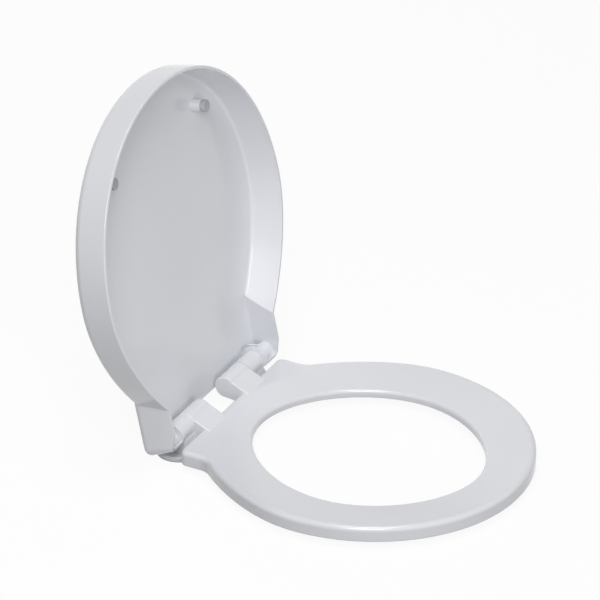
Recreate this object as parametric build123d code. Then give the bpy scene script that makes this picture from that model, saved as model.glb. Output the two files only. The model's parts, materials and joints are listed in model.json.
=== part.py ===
"""Soft-close toilet seat: a ring, a deep wrap-over lid and a damped hinge on two pan fixings.

Pieces are drawn with the lid and the ring down, y measured from the hinge axis towards the
cistern and z from the pan's surface. The lid's pieces are then turned open, and everything is
moved so that the origin lies midway between the two pan holes. Millimetres and degrees.
"""
import os
from math import cos, radians, sin

from build123d import *

# Pan fixings
pan_hole_spacing = 155.0
pan_hole_radius = 4.25
pan_hole_behind_axis = 14.0
bolt_head_radius = 7.5
bolt_head_depth = 3.0

# Hinge line
axis_height = 25.5
lid_opening = 101.9
post_width = 28.0
side_gap = 0.4
running_clearance = 0.05
fit_clearance = 0.03

# How far a cutter runs past a face, and how far a joined piece runs into its neighbour
past = 1.0
join = 0.5

# Seat ring: its rim stands higher than the hole's edge, with a dish between them
ring_width = 351.2
ring_tip = 374.2
ring_widest = 190.0
ring_rear = 13.0
ring_front_fullness = 0.551
ring_rear_fullness = 0.43
ring_underside = 7.2
ring_top = 24.8
ring_wall = 3.6
ring_top_radius = 5.0
ring_foot_radius = 2.0
ring_neck_width = 228.0
ring_neck_rear = -20.0
ring_neck_corner = 8.0
ring_neck_blend = 20.0
dish_inset = 7.0
dish_rear_fullness = 0.5
dish_edge_radius = 12.0

# Hole in the ring
hole_width = 235.3
hole_front = 322.3
hole_widest = 194.6
hole_rear = 60.8
hole_front_fullness = 0.503
hole_rear_fullness = 0.508
hole_top = 18.4
hole_top_radius = 4.0
hole_lip = 9.0
hole_lip_radius = 1.5

# Ring hinge knuckles
knuckle_radius = 12.4
knuckle_length = 38.0
knuckle_end_wall = 2.0
knuckle_web_reach = 45.0
knuckle_web_height = 9.0
knuckle_edge_radius = 1.2

# Lid
lid_overhang = 10.6
lid_tip_overhang = 6.7
lid_rear_overhang = 6.0
lid_front_fullness = 0.567
lid_rear_fullness = 0.435
lid_rim = 4.4
lid_rim_radius = 1.0
lid_top = 44.4
lid_wall = 3.2
lid_edge_radius = 9.0
lid_inner_draft = 4.5
lid_inner_radius = 4.0
lid_neck_width = 254.0
lid_neck_front = -75.0
lid_neck_rear = 13.0
lid_neck_corner = 14.0
lid_neck_draft = 12.0
lid_neck_edge_radius = 6.0
lid_middle_rear = 3.0
lid_boss_radius = 9.4
lid_boss_plate = 3.2
lid_ear_radius = 16.0

# Rubber buffers
lid_buffer_angle = 47.0
lid_buffer_radius = 6.7
lid_buffer_height = 6.0
lid_buffer_gap = 1.6
lid_buffer_edge_radius = 1.2
lid_stem_radius = 7.4
lid_stem_draft = 2.0
lid_peg_radius = 3.0
lid_peg_length = 3.6
ring_buffer_front_angle = 45.0
ring_buffer_rear_angle = -33.0
ring_buffer_radius = 8.0
ring_buffer_plug_radius = 3.0
ring_buffer_plug_length = 6.0
ring_boss_radius = 6.5

# Base discs, gaskets and studs
gasket_thickness = 1.5
gasket_inset = 1.0
disc_radius = 26.0
disc_height = 5.0
disc_edge_radius = 2.0
stud_radius = 5.0
stud_height = 16.8
stud_flange_radius = 7.0
stud_flange_height = 1.5
stud_groove_radius = 3.6
stud_groove_height = 2.6

# Hinge posts
post_radius = 12.4
post_foot_depth = 32.0
post_foot_height = 7.5
post_shoulder_height = 14.5
post_lift = 0.2
post_edge_radius = 1.5

# Release buttons
button_travel = 3.5
button_centre_height = 11.8
button_width = 15.0
button_height = 7.0
button_depth = 6.0
button_stand_out = 2.0
button_edge_radius = 1.0
plate_thickness = 2.0
plate_width = 13.4
plate_front_land = 2.0
spring_length = 7.8
spring_radius = 2.2
spring_wire_radius = 0.4
spring_turns = 5

# Dampers
housing_radius = 9.4
housing_wall = 1.8
housing_floor = 2.5
housing_inset = 0.45
cap_thickness = 4.0
cap_peg_radius = 1.2
cap_peg_reach = 6.1
cap_peg_length = 3.2
key_width = 3.0
key_height = 1.8
drum_radius = 4.8
drum_end_gap = 0.2
vane_angle_width = 30.0
vane_gap = 0.15
shaft_radius = 4.0
shaft_flat = 3.0
shaft_end = 111.0
seal_section_radius = 0.98
seal_seat_radius = 6.2
seal_seat_depth = 2.2
bush_radius = 6.0
bush_flat = 5.2
bush_end = 110.0
ring_vane_angle = 140.0
lid_vane_angle = 40.0
barrier_angle = 90.0

# Places worked out from the sizes above
post_x = pan_hole_spacing / 2
post_inner = post_x - post_width / 2
post_outer = post_x + post_width / 2
knuckle_outer = post_inner - side_gap
knuckle_inner = knuckle_outer - knuckle_length
boss_inner = post_outer + side_gap
disc_base = gasket_thickness
disc_top = disc_base + disc_height
post_base = disc_top + post_lift
bore_inner = knuckle_inner + knuckle_end_wall
housing_inner = bore_inner + housing_inset
housing_outer = knuckle_outer - housing_inset
chamber_radius = housing_radius - housing_wall
lid_panel = lid_top - lid_wall
lid_buffer_low = (ring_top + hole_top) / 2 + lid_buffer_gap


def oval(half_width, tip, widest, rear, front_fullness, rear_fullness):
    """Egg-shaped face: tip and widest measured forward of the axis, rear behind it."""
    front_reach = tip - widest
    rear_reach = rear + widest
    quarters = []
    for side in (1, -1):
        end = (side * half_width, -widest)
        quarters.append(
            Bezier(
                end,
                (side * half_width, -widest - front_fullness * front_reach),
                (side * front_fullness * half_width, -tip),
                (0, -tip),
            )
        )
        quarters.append(
            Bezier(
                end,
                (side * half_width, -widest + rear_fullness * rear_reach),
                (side * rear_fullness * half_width, rear),
                (0, rear),
            )
        )
    return make_face(quarters)


def ring_oval(inset):
    """Ring's outline without its neck, moved in by inset."""
    return oval(
        ring_width / 2 - inset,
        ring_tip - inset,
        ring_widest,
        ring_rear - inset,
        ring_front_fullness,
        ring_rear_fullness,
    )


def lid_oval(inset):
    """Lid's outline without its neck, moved in by inset."""
    return oval(
        ring_width / 2 + lid_overhang - inset,
        ring_tip + lid_tip_overhang - inset,
        ring_widest,
        ring_rear + lid_rear_overhang - inset,
        lid_front_fullness,
        lid_rear_fullness,
    )


def hole_oval(outset):
    """Outline of the ring's hole, moved out by outset."""
    return oval(
        hole_width / 2 + outset,
        hole_front + outset,
        hole_widest,
        outset - hole_rear,
        hole_front_fullness,
        hole_rear_fullness,
    )


def prism(face, low, high):
    """Upright prism of a plan face between two heights."""
    return extrude(Pos(0, 0, low) * face, amount=high - low, dir=(0, 0, 1))


def block(x, y, z):
    """Box from its (low, high) pairs along each axis."""
    size = [high - low for low, high in (x, y, z)]
    middle = [(high + low) / 2 for low, high in (x, y, z)]
    return Pos(*middle) * Box(*size)


def peg(radius, x, y, low, high):
    """Upright cylinder."""
    return Pos(x, y, (low + high) / 2) * Cylinder(radius, high - low)


def bar(radius, x_from, x_to, y=0.0):
    """Cylinder along the hinge line."""
    middle = Pos((x_from + x_to) / 2, y, axis_height)
    return middle * Rot(0, 90, 0) * Cylinder(radius, x_to - x_from)


def flatted_bar(radius, flat, x_from, x_to):
    """Bar along the hinge line with two flats, above and below."""
    between = (axis_height - flat, axis_height + flat)
    return bar(radius, x_from, x_to) & block((x_from, x_to), (-radius, radius), between)


def sector(inner, outer, x_from, x_to, angle, width):
    """Ring sector along the hinge line, centred on an angle from +Y towards +Z."""
    length = x_to - x_from
    about_axis = (Align.NONE, Align.NONE, Align.CENTER)
    wedge = Cylinder(outer, length, arc_size=width, align=about_axis) - Cylinder(inner, length + past)
    turned = Rot(0, 90, 0) * Rot(0, 0, angle + 90 - width / 2) * wedge
    return Pos((x_from + x_to) / 2, 0, axis_height) * turned


def side_profile(points, x_from, x_to):
    """Prism along X of a polygon given as (y, z) points."""
    face = make_face(Polyline(*points, close=True))
    return extrude(Plane.YZ.offset(x_from) * face, amount=x_to - x_from)


def edges_at(part, height):
    """Edges that lie wholly at one height."""
    slack = fit_clearance / 2
    return part.edges().filter_by_position(Axis.Z, height - slack, height + slack)


def ring_shell():
    """Ring moulding's outer form, before its hollow underside."""
    neck = Pos(0, (ring_neck_rear - ring_widest) / 2) * Rectangle(
        ring_neck_width, ring_neck_rear + ring_widest
    )
    rear_limit = Pos(0, ring_neck_rear - ring_tip) * Rectangle(2 * ring_width, 2 * ring_tip)
    plan = (ring_oval(0) + neck) & rear_limit
    body = prism(plan, ring_underside, ring_top)
    creases = body.edges().filter_by(Axis.Z).group_by(Axis.Y)[0]
    body = fillet(creases, ring_neck_blend)
    corners = body.edges().filter_by(Axis.Z).group_by(Axis.Y)[-1]
    body = fillet(corners, ring_neck_corner)
    body = fillet(edges_at(body, ring_top), ring_top_radius)
    body = fillet(edges_at(body, ring_underside), ring_foot_radius)
    body -= ring_dish()
    lip = hole_top - hole_lip
    body -= prism(hole_oval(2 * ring_wall), ring_underside - past, lip)
    body -= prism(hole_oval(0), ring_underside, ring_top)
    body = fillet(edges_at(body, hole_top), hole_top_radius)
    flat_faces = body.faces().filter_by(Axis.Z).sort_by(Axis.Z)
    body = fillet(flat_faces[-1].inner_wires()[0].edges(), dish_edge_radius)
    flat_faces = body.faces().filter_by(Axis.Z).sort_by(Axis.Z)
    return fillet(flat_faces[1].inner_wires()[0].edges(), hole_lip_radius)


def ring_dish():
    """Dish in the ring's top, from the rim down to the hole's edge."""
    rim = oval(
        ring_width / 2 - dish_inset,
        ring_tip - dish_inset,
        ring_widest,
        ring_neck_rear - dish_inset,
        ring_front_fullness,
        dish_rear_fullness,
    )
    return loft([Pos(0, 0, hole_top) * hole_oval(0), Pos(0, 0, ring_top) * rim], ruled=True)


def ring_hollow():
    """Space under the ring's top skin."""
    neck_half = ring_neck_width / 2 - ring_wall
    neck = Pos(0, (ring_neck_rear - ring_wall - ring_widest) / 2) * Rectangle(
        2 * neck_half, ring_neck_rear - ring_wall + ring_widest
    )
    limit = Pos(0, ring_neck_rear - ring_wall - ring_tip) * Rectangle(2 * ring_width, 2 * ring_tip)
    plan = (ring_oval(ring_wall) + neck) & limit
    plan -= hole_oval(ring_wall)
    hollow = prism(plan, ring_underside - past, ring_top - ring_wall)
    return hollow - Pos(0, 0, -ring_wall) * ring_dish()


def seat_ring():
    """Ring moulding with its hinge knuckles and the bosses for its buffers."""
    shell = ring_shell()
    body = shell - ring_hollow()
    for x, y in ring_buffer_places.values():
        for side in (1, -1):
            body += peg(ring_boss_radius, side * x, y, ring_underside, ring_top) & shell
    web = [
        (0, axis_height - knuckle_radius),
        (0, axis_height + knuckle_radius),
        (-knuckle_web_reach, hole_top),
        (-knuckle_web_reach, hole_top - knuckle_web_height),
    ]
    knuckle = side_profile(web, knuckle_inner, knuckle_outer)
    knuckle += bar(knuckle_radius, knuckle_inner, knuckle_outer)
    knuckle = fillet(knuckle.faces().filter_by(Axis.X).edges(), knuckle_edge_radius)
    body += knuckle + mirror(knuckle, about=Plane.YZ)
    fits = {1: fit_clearance, -1: running_clearance}
    for side, clearance in fits.items():
        span = sorted((side * bore_inner, side * (knuckle_outer + past)))
        body -= bar(housing_radius + clearance, *span)
    body -= housing_key(bore_inner, knuckle_outer + past, fit_clearance)
    plug_top = ring_underside + ring_buffer_plug_length + 2 * fit_clearance
    for x, y in ring_buffer_places.values():
        for side in (1, -1):
            radius = ring_buffer_plug_radius + fit_clearance
            body -= peg(radius, side * x, y, ring_underside - past, plug_top)
    return body


def mid_band(angle):
    """Point midway across the ring, its angle turned from +X towards the tip."""
    reach = (hole_front + ring_tip) / 2 - ring_widest
    if angle < 0:
        reach = ring_widest + (ring_rear - hole_rear) / 2
    turn = radians(angle)
    return (ring_width + hole_width) / 4 * cos(turn), -ring_widest - reach * sin(turn)


def ring_buffer(x, y):
    """Rubber foot pressed up into its boss."""
    foot = peg(ring_buffer_radius, x, y, 0, ring_underside)
    foot = fillet(edges_at(foot, 0), ring_foot_radius)
    plug = peg(
        ring_buffer_plug_radius, x, y, ring_underside, ring_underside + ring_buffer_plug_length
    )
    return foot + plug


def lid_neck(inset, low):
    """Tapered neck that carries the lid's two ears, moved in by inset."""
    half = lid_neck_width / 2 - inset
    rear = lid_neck_rear - inset
    corner = lid_neck_corner - inset
    plan = Pos(0, (rear + lid_neck_front) / 2) * Rectangle(2 * half, rear - lid_neck_front)
    plan = fillet(plan.vertices().group_by(Axis.Y)[-1], corner)
    top = lid_top - inset
    return extrude(Pos(0, 0, top) * plan, amount=top - low, dir=(0, 0, -1), taper=lid_neck_draft)


def lid_outer():
    """Lid's outer form as a solid."""
    cap = prism(lid_oval(0), lid_rim, lid_top)
    cap = fillet(edges_at(cap, lid_top), lid_edge_radius)
    cap = fillet(edges_at(cap, lid_rim), lid_rim_radius)
    neck = lid_neck(0, lid_rim)
    neck = fillet(edges_at(neck, lid_top), lid_neck_edge_radius)
    return cap + neck


def lid_inner():
    """Hollow of the lid."""
    mouth = Pos(0, 0, lid_rim - past) * lid_oval(lid_wall)
    floor = Pos(0, 0, lid_panel) * lid_oval(lid_wall + lid_inner_draft)
    cap = loft([mouth, floor], ruled=True)
    cap = fillet(edges_at(cap, lid_panel), lid_inner_radius)
    return cap + lid_neck(lid_wall, lid_rim - past)


def ear_trim():
    """What is cut from behind and below the ears so that the lid clears its hinge."""
    wide = lid_neck_width
    middle = block(
        (-boss_inner, boss_inner), (lid_middle_rear, 4 * lid_neck_rear), (0, 2 * lid_top)
    )
    below = axis_height - lid_ear_radius
    under = [
        (-lid_ear_radius, lid_rim),
        (0, below),
        (lid_ear_radius / 2, below + lid_wall),
        (2 * lid_ear_radius, axis_height),
        (2 * lid_ear_radius, -lid_rim),
        (-lid_ear_radius, -lid_rim),
    ]
    return middle + side_profile(under, -wide, wide)


def lid():
    """Lid moulding: cap, neck, ears with bosses, and two stems for the buffers."""
    outer = lid_outer()
    body = outer - lid_inner()
    far = lid_neck_width / 2
    ears = bar(lid_boss_radius, boss_inner, far)
    ears += bar(lid_ear_radius, boss_inner, boss_inner + lid_boss_plate)
    hanger = block(
        (bush_end, bush_end + lid_boss_plate),
        (-lid_boss_radius, lid_boss_radius),
        (axis_height, lid_panel + lid_wall / 2),
    )
    ears += hanger
    ears = ears & outer
    body += ears + mirror(ears, about=Plane.YZ)
    body -= ear_trim()
    seat = flatted_bar(
        bush_radius + fit_clearance, bush_flat + fit_clearance, boss_inner - past, bush_end
    )
    seat += bar(shaft_radius + side_gap, bush_end - past, shaft_end + past)
    body -= seat + mirror(seat, about=Plane.YZ)
    x, y = mid_band(lid_buffer_angle)
    stem_low = lid_buffer_low + lid_buffer_height
    stem_high = lid_panel + lid_wall / 2
    stem = extrude(
        Pos(x, y, stem_high) * Circle(lid_stem_radius),
        amount=stem_high - stem_low,
        dir=(0, 0, -1),
        taper=lid_stem_draft,
    )
    stem += peg(lid_peg_radius, x, y, stem_low - lid_peg_length, stem_low)
    return body + stem + mirror(stem, about=Plane.YZ)


def lid_buffer():
    """Rubber tip on a stem of the lid."""
    x, y = mid_band(lid_buffer_angle)
    high = lid_buffer_low + lid_buffer_height
    tip = peg(lid_buffer_radius, x, y, lid_buffer_low, high)
    tip = fillet(edges_at(tip, lid_buffer_low), lid_buffer_edge_radius)
    hole_low = high - lid_peg_length - fit_clearance
    return tip - peg(lid_peg_radius + fit_clearance, x, y, hole_low, high + past)


def base_gasket():
    """Soft washer between disc and pan."""
    pad = peg(disc_radius - gasket_inset, post_x, 0, 0, gasket_thickness)
    return pad - peg(pan_hole_radius, post_x, pan_hole_behind_axis, -past, disc_top)


def base_disc():
    """Round base with an off-centre pan hole, so that turning it suits the pan."""
    disc = peg(disc_radius, post_x, 0, disc_base, disc_top)
    disc = fillet(edges_at(disc, disc_top), disc_edge_radius)
    disc -= peg(pan_hole_radius, post_x, pan_hole_behind_axis, 0, disc_top + past)
    head_floor = disc_top - bolt_head_depth
    disc -= peg(bolt_head_radius, post_x, pan_hole_behind_axis, head_floor, disc_top + past)
    return disc - stud_blank(fit_clearance)


def stud_blank(clearance):
    """Stud's outer form without its groove."""
    flange_top = disc_base + stud_flange_height + clearance
    pillar = peg(stud_radius + clearance, post_x, 0, disc_base, disc_base + stud_height)
    return pillar + peg(stud_flange_radius + clearance, post_x, 0, disc_base, flange_top)


def base_stud():
    """Steel stud with the groove that the release plate locks into."""
    groove_low = button_centre_height - stud_groove_height / 2
    groove_high = button_centre_height + stud_groove_height / 2
    groove = peg(stud_radius + past, post_x, 0, groove_low, groove_high)
    groove -= peg(stud_groove_radius, post_x, 0, groove_low, groove_high)
    stud = stud_blank(0) - groove
    lead = stud_radius - stud_groove_radius
    return chamfer(edges_at(stud, disc_base + stud_height), lead)


def release_button():
    """Push button and locking plate, moulded in one."""
    head_rear = post_foot_depth / 2 + button_stand_out
    head_front = head_rear - button_depth
    head = button_room(button_width / 2, button_height / 2, head_front, head_rear)
    head = fillet(head.edges().filter_by(Axis.Y), button_edge_radius)
    head = fillet(head.faces().sort_by(Axis.Y)[-1].edges(), button_edge_radius)
    neck_radius = stud_groove_radius + side_gap / 2
    plate = button_room(plate_width / 2, plate_thickness / 2, plate_front(), head_front)
    slot_low = button_centre_height - plate_thickness
    slot_high = button_centre_height + plate_thickness
    plate -= peg(neck_radius, post_x, 0, slot_low, slot_high)
    plate -= block(
        (post_x - neck_radius, post_x + neck_radius), (0, button_travel), (slot_low, slot_high)
    )
    plate -= peg(stud_radius + side_gap, post_x, button_travel, slot_low, slot_high)
    return head + plate


def plate_front():
    """Front end of the release plate."""
    return -(stud_groove_radius + side_gap / 2 + plate_front_land)


def spring_front():
    """Blind end of the spring's pocket in the post."""
    return plate_front() - spring_length


def release_spring():
    """Coil spring that pushes the plate back into the stud's groove."""
    coil_length = spring_length - 2 * spring_wire_radius
    path = Helix(pitch=coil_length / spring_turns, height=coil_length, radius=spring_radius)
    wire = sweep(Plane(path @ 0, z_dir=path % 0) * Circle(spring_wire_radius), path, is_frenet=True)
    start = Pos(post_x, spring_front() + spring_wire_radius, button_centre_height)
    return start * Rot(-90, 0, 0) * wire


def hinge_post(keyed):
    """Post on a base disc; keyed holds a shaft from turning, else it holds a damper."""
    half = post_foot_depth / 2
    foot_top = post_base + post_foot_height
    shoulder = post_base + post_shoulder_height
    outline = [
        (-half, post_base),
        (half, post_base),
        (half, foot_top),
        (post_radius, shoulder),
        (post_radius, axis_height),
        (-post_radius, axis_height),
        (-post_radius, shoulder),
        (-half, foot_top),
    ]
    post = side_profile(outline, post_inner, post_outer)
    post = fillet(post.edges().filter_by(Axis.Z), post_edge_radius)
    post += bar(post_radius, post_inner, post_outer)
    stud_room = disc_base + stud_height + side_gap
    post -= peg(stud_radius + running_clearance, post_x, 0, 0, stud_room)
    post -= button_pocket()
    if keyed:
        flat = shaft_flat + fit_clearance
        return post - flatted_bar(shaft_radius + fit_clearance, flat, post_inner - past, post_outer + past)
    post -= bar(shaft_radius + running_clearance, post_inner - past, post_outer + past)
    return post - cap_pegs(fit_clearance)


def button_room(half_width, half_height, front, rear):
    """Box round the button's centre line."""
    return block(
        (post_x - half_width, post_x + half_width),
        (front, rear),
        (button_centre_height - half_height, button_centre_height + half_height),
    )


def button_pocket():
    """Room in the post for the button, its plate, their travel and the spring."""
    rear = post_foot_depth / 2 + past
    head_front = post_foot_depth / 2 + button_stand_out - button_depth - button_travel - side_gap
    gap = side_gap / 2
    wide = button_width / 2 + gap
    high = button_height / 2 + gap
    head = button_room(wide, high, head_front, rear)
    wide = plate_width / 2 + gap
    high = plate_thickness / 2 + gap
    front = plate_front() - button_travel - side_gap
    plate = button_room(wide, high, front, rear)
    reach = plate_front() - spring_front()
    middle = Pos(post_x, spring_front() + reach / 2, button_centre_height)
    coil = middle * Rot(90, 0, 0) * Cylinder(spring_radius + spring_wire_radius + side_gap, reach)
    return head + plate + coil


def housing_key(x_from, x_to, clearance):
    """Rib that stops a damper's housing from turning in its knuckle."""
    half = key_width / 2 + clearance
    top = housing_radius + key_height + clearance
    return block(
        (x_from, x_to), (-half, half), (axis_height - top, axis_height - housing_radius + past)
    )


def damper_housing(keyed):
    """Damper cup with two inner barriers; keyed adds the rib for the ring's knuckle."""
    cup = bar(housing_radius, housing_inner, housing_outer)
    if keyed:
        cup += housing_key(housing_inner, housing_outer, 0)
    chamber_start = housing_inner + housing_floor
    cup -= bar(chamber_radius, chamber_start, housing_outer + past)
    barrier_end = housing_outer - cap_thickness
    inner = drum_radius + vane_gap
    for angle in (barrier_angle, barrier_angle + 180):
        cup += sector(inner, housing_radius - join, chamber_start, barrier_end, angle, vane_angle_width)
    return cup


def damper_cap(pegged):
    """Plug that closes a damper; pegged adds two pegs that hold it in a post."""
    start = housing_outer - cap_thickness
    cap = bar(chamber_radius - fit_clearance, start, housing_outer)
    cap -= bar(seal_seat_radius, start - past, start + seal_seat_depth)
    if pegged:
        cap += cap_pegs(0)
    return cap - bar(shaft_radius + running_clearance, start - past, housing_outer + past)


def cap_pegs(clearance):
    """The two pegs of a pegged cap."""
    end = post_inner + cap_peg_length - 2 * fit_clearance + clearance
    radius = cap_peg_radius + clearance
    near = bar(radius, housing_outer - past, end, y=-cap_peg_reach)
    return near + bar(radius, housing_outer - past, end, y=cap_peg_reach)


def damper_seal():
    """O-ring in the cap's seat."""
    middle = housing_outer - cap_thickness + seal_seat_depth / 2
    ring = Torus(shaft_radius + 2 * running_clearance + seal_section_radius, seal_section_radius)
    return Pos(middle, 0, axis_height) * Rot(0, 90, 0) * ring


def damper_rotor(vane_angle, flat_from, flat_to):
    """Vaned drum and shaft, with flats on one stretch of the shaft."""
    drum_start = housing_inner + housing_floor + drum_end_gap
    drum_end = housing_outer - cap_thickness - drum_end_gap
    rotor = bar(drum_radius, drum_start, drum_end)
    outer = chamber_radius - vane_gap
    for angle in (vane_angle, vane_angle + 180):
        rotor += sector(drum_radius - join, outer, drum_start, drum_end, angle, vane_angle_width)
    rotor += bar(shaft_radius, drum_end - past, flat_from)
    rotor += flatted_bar(shaft_radius, shaft_flat, flat_from, flat_to)
    if flat_to < shaft_end:
        rotor += bar(shaft_radius, flat_to, shaft_end)
    return rotor


def lid_bush(keyed):
    """Bush in a lid ear; keyed takes the flats of the damper's shaft."""
    bush = flatted_bar(bush_radius, bush_flat, boss_inner, bush_end)
    if keyed:
        flat = shaft_flat + fit_clearance
        return bush - flatted_bar(shaft_radius + fit_clearance, flat, boss_inner - past, bush_end + past)
    return bush - bar(shaft_radius + running_clearance, boss_inner - past, bush_end + past)


def other_side(part):
    """The same piece on the left."""
    return mirror(part, about=Plane.YZ)


def placed(part):
    """Moves a piece from the hinge line to the pan holes' frame."""
    return Pos(0, -pan_hole_behind_axis, 0) * part


def opened(part):
    """Turns a piece of the lid from closed to open."""
    return Pos(0, 0, axis_height) * Rot(-lid_opening, 0, 0) * Pos(0, 0, -axis_height) * part


ring_buffer_places = {
    "front": mid_band(ring_buffer_front_angle),
    "rear": mid_band(ring_buffer_rear_angle),
}
lid_pieces = {
    "lid": lid(),
    "lid_buffer_left": other_side(lid_buffer()),
    "lid_buffer_right": lid_buffer(),
    "lid_bush_left": other_side(lid_bush(keyed=True)),
    "lid_bush_right": lid_bush(keyed=False),
    "lid_damper_rotor": other_side(damper_rotor(barrier_angle - lid_vane_angle, boss_inner, shaft_end)),
}
other_pieces = {
    "seat_ring": seat_ring(),
    "ring_damper_housing": damper_housing(keyed=True),
    "ring_damper_cap": damper_cap(pegged=False),
    "ring_damper_seal": damper_seal(),
    "ring_damper_rotor": damper_rotor(barrier_angle - ring_vane_angle, post_inner, post_outer),
    "lid_damper_housing": other_side(damper_housing(keyed=False)),
    "lid_damper_cap": other_side(damper_cap(pegged=True)),
    "lid_damper_seal": other_side(damper_seal()),
    "hinge_post_left": other_side(hinge_post(keyed=False)),
    "hinge_post_right": hinge_post(keyed=True),
}
for place, (x, y) in ring_buffer_places.items():
    other_pieces[f"ring_buffer_{place}_left"] = ring_buffer(-x, y)
    other_pieces[f"ring_buffer_{place}_right"] = ring_buffer(x, y)
for name, make in (
    ("base_gasket", base_gasket),
    ("base_disc", base_disc),
    ("base_stud", base_stud),
    ("release_button", release_button),
    ("release_spring", release_spring),
):
    other_pieces[f"{name}_right"] = make()
    other_pieces[f"{name}_left"] = other_side(other_pieces[f"{name}_right"])

os.makedirs("parts", exist_ok=True)
for name, piece in lid_pieces.items():
    export_step(placed(opened(piece)), f"parts/{name}.step")
for name, piece in other_pieces.items():
    export_step(placed(piece), f"parts/{name}.step")
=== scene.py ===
"""Studio scene of the toilet seat: finishes for the CAD nodes, pale floor, soft light, the photo's view."""
import json
import math

import bpy
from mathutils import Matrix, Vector

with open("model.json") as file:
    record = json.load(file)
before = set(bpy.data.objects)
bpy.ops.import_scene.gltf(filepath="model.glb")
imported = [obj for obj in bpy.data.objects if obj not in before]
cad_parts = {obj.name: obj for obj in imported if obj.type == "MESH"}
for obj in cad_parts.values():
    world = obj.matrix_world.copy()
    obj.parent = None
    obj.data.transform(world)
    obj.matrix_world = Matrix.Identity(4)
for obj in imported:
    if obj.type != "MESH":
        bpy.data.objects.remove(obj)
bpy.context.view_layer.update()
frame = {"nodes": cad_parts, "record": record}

# Camera: where it stands round the object, and the point that falls in the picture's middle, in metres
VIEW_AZIMUTH = math.radians(-62.2)
VIEW_ELEVATION = math.radians(30.47)
VIEW_DISTANCE = 6.452
VIEW_PIVOT = Vector((0.0, -0.164, 0.120))
VIEW_FAR = 100.0
PICTURE_CENTRE = Vector((0.0095, -0.1162, 0.1721))
LENS_MM = 360.0
SENSOR_MM = 36.0

# Light: four soft boxes, from the left, the front, above and behind, and an even grey all round
WORLD_GREY = (0.15, 0.15, 0.15, 1)
LAMP_SIZE = 1.2
KEY_PLACE = (-1.97, -1.02, 2.24)
KEY_WATTS = 34.5
FRONT_PLACE = (-1.6, -2.4, 1.0)
FRONT_WATTS = 20.0
TOP_PLACE = (-0.3, -0.3, 3.1)
TOP_WATTS = 26.5
BACK_PLACE = (1.6, 2.6, 0.7)
BACK_WATTS = 36.0

# Background: white where it is seen, grey in the light that it sends back
WHITE = (1.0, 1.0, 1.0, 1)
WHITE_STRENGTH = 1.0
FLOOR_SIZE = 60.0
FLOOR_DROP = 0.0003
FLOOR_GREY = (0.34, 0.34, 0.34, 1)
FLOOR_WHITE_SHARE = 0.92
FLOOR_ROUGHNESS = 0.9
FLOOR_SPECULAR = 0.1

# Noise: the values taken as its dark and light ends, and how fine it is unless a finish says otherwise
NOISE_DARK = 0.3
NOISE_LIGHT = 0.7
NOISE_DETAIL = 3.0

# White plastic: colours are linear, scales are patches to the metre, depths are in metres
PLASTIC_LIGHT = (0.788, 0.797, 0.833, 1)
PLASTIC_DARK = (0.764, 0.773, 0.809, 1)
PLASTIC_TONE_SCALE = 9.0
PLASTIC_GLOSS_SCALE = 35.0
PLASTIC_ROUGHNESS = (0.15, 0.20)
PLASTIC_COAT = 0.5
PLASTIC_COAT_ROUGHNESS = 0.12
PLASTIC_PEEL_SCALE = 160.0
PLASTIC_PEEL_DETAIL = 2.0
PLASTIC_PEEL_DEPTH = 0.00002

# Matte plastic of the bushes and dampers
BUSH_LIGHT = (0.62, 0.61, 0.58, 1)
BUSH_DARK = (0.56, 0.55, 0.52, 1)
DAMPER_LIGHT = (0.040, 0.042, 0.046, 1)
DAMPER_DARK = (0.030, 0.031, 0.034, 1)
MATTE_TONE_SCALE = 60.0
MATTE_GLOSS_SCALE = 400.0
MATTE_ROUGHNESS = (0.42, 0.58)
MATTE_GRAIN_SCALE = 1800.0
MATTE_GRAIN_DEPTH = 0.00005

# Rubber of the buffers, gaskets and seals
RUBBER_LIGHT = (0.52, 0.53, 0.55, 1)
RUBBER_DARK = (0.45, 0.46, 0.48, 1)
SEAL_LIGHT = (0.016, 0.016, 0.017, 1)
SEAL_DARK = (0.009, 0.009, 0.010, 1)
RUBBER_TONE_SCALE = 120.0
RUBBER_GLOSS_SCALE = 500.0
RUBBER_ROUGHNESS = (0.55, 0.75)
RUBBER_SPECULAR = 0.35
RUBBER_PIT_SCALE = 1500.0
RUBBER_PIT_DEPTH = 0.00008

# Steel of the studs and springs, its marks drawn out round the upright axis
STEEL_LIGHT = (0.60, 0.60, 0.61, 1)
STEEL_DARK = (0.48, 0.48, 0.49, 1)
STEEL_ROUGHNESS = (0.24, 0.38)
STEEL_MARK_SCALE = 250.0
STEEL_MARK_DETAIL = 4.0
STEEL_MARK_SQUEEZE = (0.15, 0.15, 8)
STEEL_MARK_DEPTH = 0.00002


def new_material(name):
    """A new node material, with its tree and its Principled shader."""
    material = bpy.data.materials.new(name)
    material.use_nodes = True
    return material, material.node_tree, material.node_tree.nodes["Principled BSDF"]


def noise(tree, scale, detail=NOISE_DETAIL, squeeze=(1, 1, 1)):
    """Noise in object space; a squeeze below 1 draws the pattern out along that axis."""
    place = tree.nodes.new("ShaderNodeTexCoord")
    mapping = tree.nodes.new("ShaderNodeMapping")
    mapping.inputs["Scale"].default_value = squeeze
    texture = tree.nodes.new("ShaderNodeTexNoise")
    texture.inputs["Scale"].default_value = scale
    texture.inputs["Detail"].default_value = detail
    tree.links.new(place.outputs["Object"], mapping.inputs["Vector"])
    tree.links.new(mapping.outputs["Vector"], texture.inputs["Vector"])
    return texture.outputs["Fac"]


def ramp(tree, value, low, high, start=NOISE_DARK, end=NOISE_LIGHT):
    """Colour that goes from low to high as the value goes from start to end."""
    node = tree.nodes.new("ShaderNodeValToRGB")
    node.color_ramp.elements[0].position = start
    node.color_ramp.elements[0].color = low
    node.color_ramp.elements[1].position = end
    node.color_ramp.elements[1].color = high
    tree.links.new(value, node.inputs["Fac"])
    return node.outputs["Color"]


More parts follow.
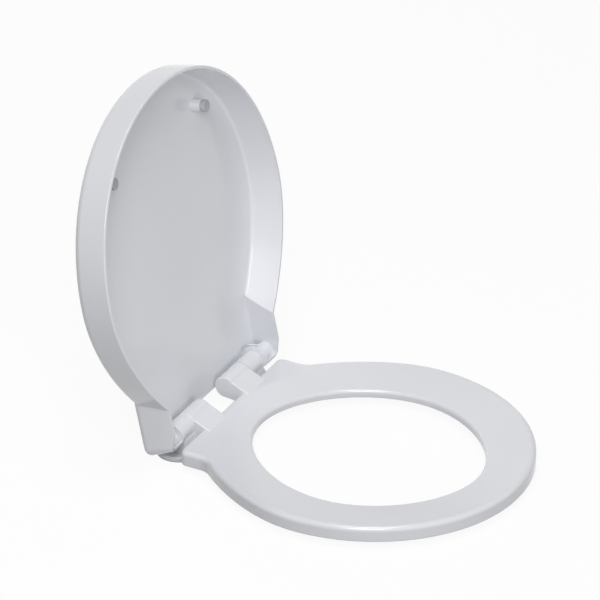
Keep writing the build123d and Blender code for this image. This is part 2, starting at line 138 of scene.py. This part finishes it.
def spread(tree, value, ends):
    """Number that goes from one end to the other as the noise goes from dark to light."""
    node = tree.nodes.new("ShaderNodeMapRange")
    node.inputs["From Min"].default_value = NOISE_DARK
    node.inputs["From Max"].default_value = NOISE_LIGHT
    node.inputs["To Min"].default_value = ends[0]
    node.inputs["To Max"].default_value = ends[1]
    tree.links.new(value, node.inputs["Value"])
    return node.outputs["Result"]


def paint(tree, shader, value, dark, light):
    """Base colour that drifts between two tones."""
    tree.links.new(ramp(tree, value, dark, light), shader.inputs["Base Color"])


def roughen(tree, shader, value, ends):
    """Roughness that drifts between two ends."""
    tree.links.new(spread(tree, value, ends), shader.inputs["Roughness"])


def bump(tree, shader, value, depth):
    """Fine relief, its depth in metres."""
    node = tree.nodes.new("ShaderNodeBump")
    node.inputs["Distance"].default_value = depth
    tree.links.new(value, node.inputs["Height"])
    tree.links.new(node.outputs["Normal"], shader.inputs["Normal"])


def gloss_plastic(name):
    """Glossy white moulding: faint tone drift, slight orange peel, thin clear skin."""
    material, tree, shader = new_material(name)
    paint(tree, shader, noise(tree, PLASTIC_TONE_SCALE), PLASTIC_DARK, PLASTIC_LIGHT)
    roughen(tree, shader, noise(tree, PLASTIC_GLOSS_SCALE), PLASTIC_ROUGHNESS)
    shader.inputs["Coat Weight"].default_value = PLASTIC_COAT
    shader.inputs["Coat Roughness"].default_value = PLASTIC_COAT_ROUGHNESS
    bump(tree, shader, noise(tree, PLASTIC_PEEL_SCALE, PLASTIC_PEEL_DETAIL), PLASTIC_PEEL_DEPTH)
    return material


def matte_plastic(name, dark, light):
    """Engineering plastic with a spark-eroded texture."""
    material, tree, shader = new_material(name)
    paint(tree, shader, noise(tree, MATTE_TONE_SCALE), dark, light)
    roughen(tree, shader, noise(tree, MATTE_GLOSS_SCALE), MATTE_ROUGHNESS)
    bump(tree, shader, noise(tree, MATTE_GRAIN_SCALE), MATTE_GRAIN_DEPTH)
    return material


def rubber(name, dark, light):
    """Soft rubber: dull, finely pitted."""
    material, tree, shader = new_material(name)
    paint(tree, shader, noise(tree, RUBBER_TONE_SCALE), dark, light)
    roughen(tree, shader, noise(tree, RUBBER_GLOSS_SCALE), RUBBER_ROUGHNESS)
    shader.inputs["Specular IOR Level"].default_value = RUBBER_SPECULAR
    bump(tree, shader, noise(tree, RUBBER_PIT_SCALE), RUBBER_PIT_DEPTH)
    return material


def turned_steel(name):
    """Bright steel with fine turning marks."""
    material, tree, shader = new_material(name)
    marks = noise(tree, STEEL_MARK_SCALE, STEEL_MARK_DETAIL, STEEL_MARK_SQUEEZE)
    paint(tree, shader, marks, STEEL_DARK, STEEL_LIGHT)
    roughen(tree, shader, marks, STEEL_ROUGHNESS)
    shader.inputs["Metallic"].default_value = 1.0
    bump(tree, shader, marks, STEEL_MARK_DEPTH)
    return material


def dress_nodes():
    """Gives each CAD node the finish of its slot."""
    finishes = {
        "white_gloss_plastic": gloss_plastic("white_gloss_plastic"),
        "grey_rubber": rubber("grey_rubber", RUBBER_DARK, RUBBER_LIGHT),
        "stud_steel": turned_steel("stud_steel"),
        "bush_plastic": matte_plastic("bush_plastic", BUSH_DARK, BUSH_LIGHT),
        "damper_plastic": matte_plastic("damper_plastic", DAMPER_DARK, DAMPER_LIGHT),
        "seal_rubber": rubber("seal_rubber", SEAL_DARK, SEAL_LIGHT),
    }
    for part in frame["record"]["subparts"]:
        node = frame["nodes"][part["node"]]
        node.data.materials.clear()
        node.data.materials.append(finishes[part["material_slot"]])


def seen_directly(tree):
    """1 for rays that show a background: from the camera, a mirror or glass."""
    path = tree.nodes.new("ShaderNodeLightPath")
    total = path.outputs["Is Camera Ray"]
    for name in ("Is Glossy Ray", "Is Transmission Ray"):
        either = tree.nodes.new("ShaderNodeMath")
        either.operation = "MAXIMUM"
        tree.links.new(total, either.inputs[0])
        tree.links.new(path.outputs[name], either.inputs[1])
        total = either.outputs["Value"]
    return total


def make_floor():
    """Pale floor, a hair below the gaskets' faces, that keeps the seat's soft shadow."""
    bpy.ops.mesh.primitive_plane_add(size=FLOOR_SIZE, location=(0, 0, -FLOOR_DROP))
    floor = bpy.context.object
    floor.name = "floor"
    material, tree, shader = new_material("floor_paint")
    direct = seen_directly(tree)
    tree.links.new(ramp(tree, direct, FLOOR_GREY, WHITE, 0, 1), shader.inputs["Base Color"])
    shader.inputs["Roughness"].default_value = FLOOR_ROUGHNESS
    shader.inputs["Specular IOR Level"].default_value = FLOOR_SPECULAR
    white = tree.nodes.new("ShaderNodeEmission")
    white.inputs["Color"].default_value = WHITE
    white.inputs["Strength"].default_value = WHITE_STRENGTH
    share = tree.nodes.new("ShaderNodeMath")
    share.operation = "MULTIPLY"
    share.inputs[1].default_value = FLOOR_WHITE_SHARE
    tree.links.new(direct, share.inputs[0])
    mix = tree.nodes.new("ShaderNodeMixShader")
    tree.links.new(share.outputs["Value"], mix.inputs["Fac"])
    tree.links.new(shader.outputs["BSDF"], mix.inputs[1])
    tree.links.new(white.outputs["Emission"], mix.inputs[2])
    tree.links.new(mix.outputs["Shader"], tree.nodes["Material Output"].inputs["Surface"])
    floor.data.materials.append(material)


def make_world():
    """Even grey light all round; the background itself shows white."""
    world = bpy.data.worlds.new("studio")
    bpy.context.scene.world = world
    world.use_nodes = True
    tree = world.node_tree
    light = tree.nodes["Background"]
    light.inputs["Color"].default_value = WORLD_GREY
    white = tree.nodes.new("ShaderNodeBackground")
    white.inputs["Color"].default_value = WHITE
    white.inputs["Strength"].default_value = WHITE_STRENGTH
    mix = tree.nodes.new("ShaderNodeMixShader")
    tree.links.new(seen_directly(tree), mix.inputs["Fac"])
    tree.links.new(light.outputs["Background"], mix.inputs[1])
    tree.links.new(white.outputs["Background"], mix.inputs[2])
    tree.links.new(mix.outputs["Shader"], tree.nodes["World Output"].inputs["Surface"])


def soft_box(name, place, watts, mirrored=True):
    """Square area lamp that faces the seat; one that isn't mirrored leaves no highlight."""
    lamp = bpy.data.lights.new(name, "AREA")
    lamp.shape = "SQUARE"
    lamp.size = LAMP_SIZE
    lamp.energy = watts
    holder = bpy.data.objects.new(name, lamp)
    holder.location = place
    holder.rotation_mode = "QUATERNION"
    holder.rotation_quaternion = (PICTURE_CENTRE - Vector(place)).to_track_quat("-Z", "Y")
    holder.visible_camera = False
    holder.visible_glossy = mirrored
    bpy.context.scene.collection.objects.link(holder)


def make_camera():
    """Long lens at the photo's angle."""
    level = math.cos(VIEW_ELEVATION)
    x = math.sin(VIEW_AZIMUTH) * level
    y = -math.cos(VIEW_AZIMUTH) * level
    back = Vector((x, y, math.sin(VIEW_ELEVATION)))
    camera = bpy.data.objects.new("camera", bpy.data.cameras.new("camera"))
    camera.data.lens = LENS_MM
    camera.data.sensor_width = SENSOR_MM
    camera.data.clip_end = VIEW_FAR
    camera.location = VIEW_PIVOT + back * VIEW_DISTANCE
    camera.rotation_mode = "QUATERNION"
    camera.rotation_quaternion = (PICTURE_CENTRE - camera.location).to_track_quat("-Z", "Y")
    bpy.context.scene.collection.objects.link(camera)
    bpy.context.scene.camera = camera


dress_nodes()
make_floor()
make_world()
soft_box("key", KEY_PLACE, KEY_WATTS)
soft_box("front", FRONT_PLACE, FRONT_WATTS, mirrored=False)
soft_box("top", TOP_PLACE, TOP_WATTS)
soft_box("back", BACK_PLACE, BACK_WATTS, mirrored=False)
make_camera()
bpy.context.scene.view_settings.view_transform = "Standard"
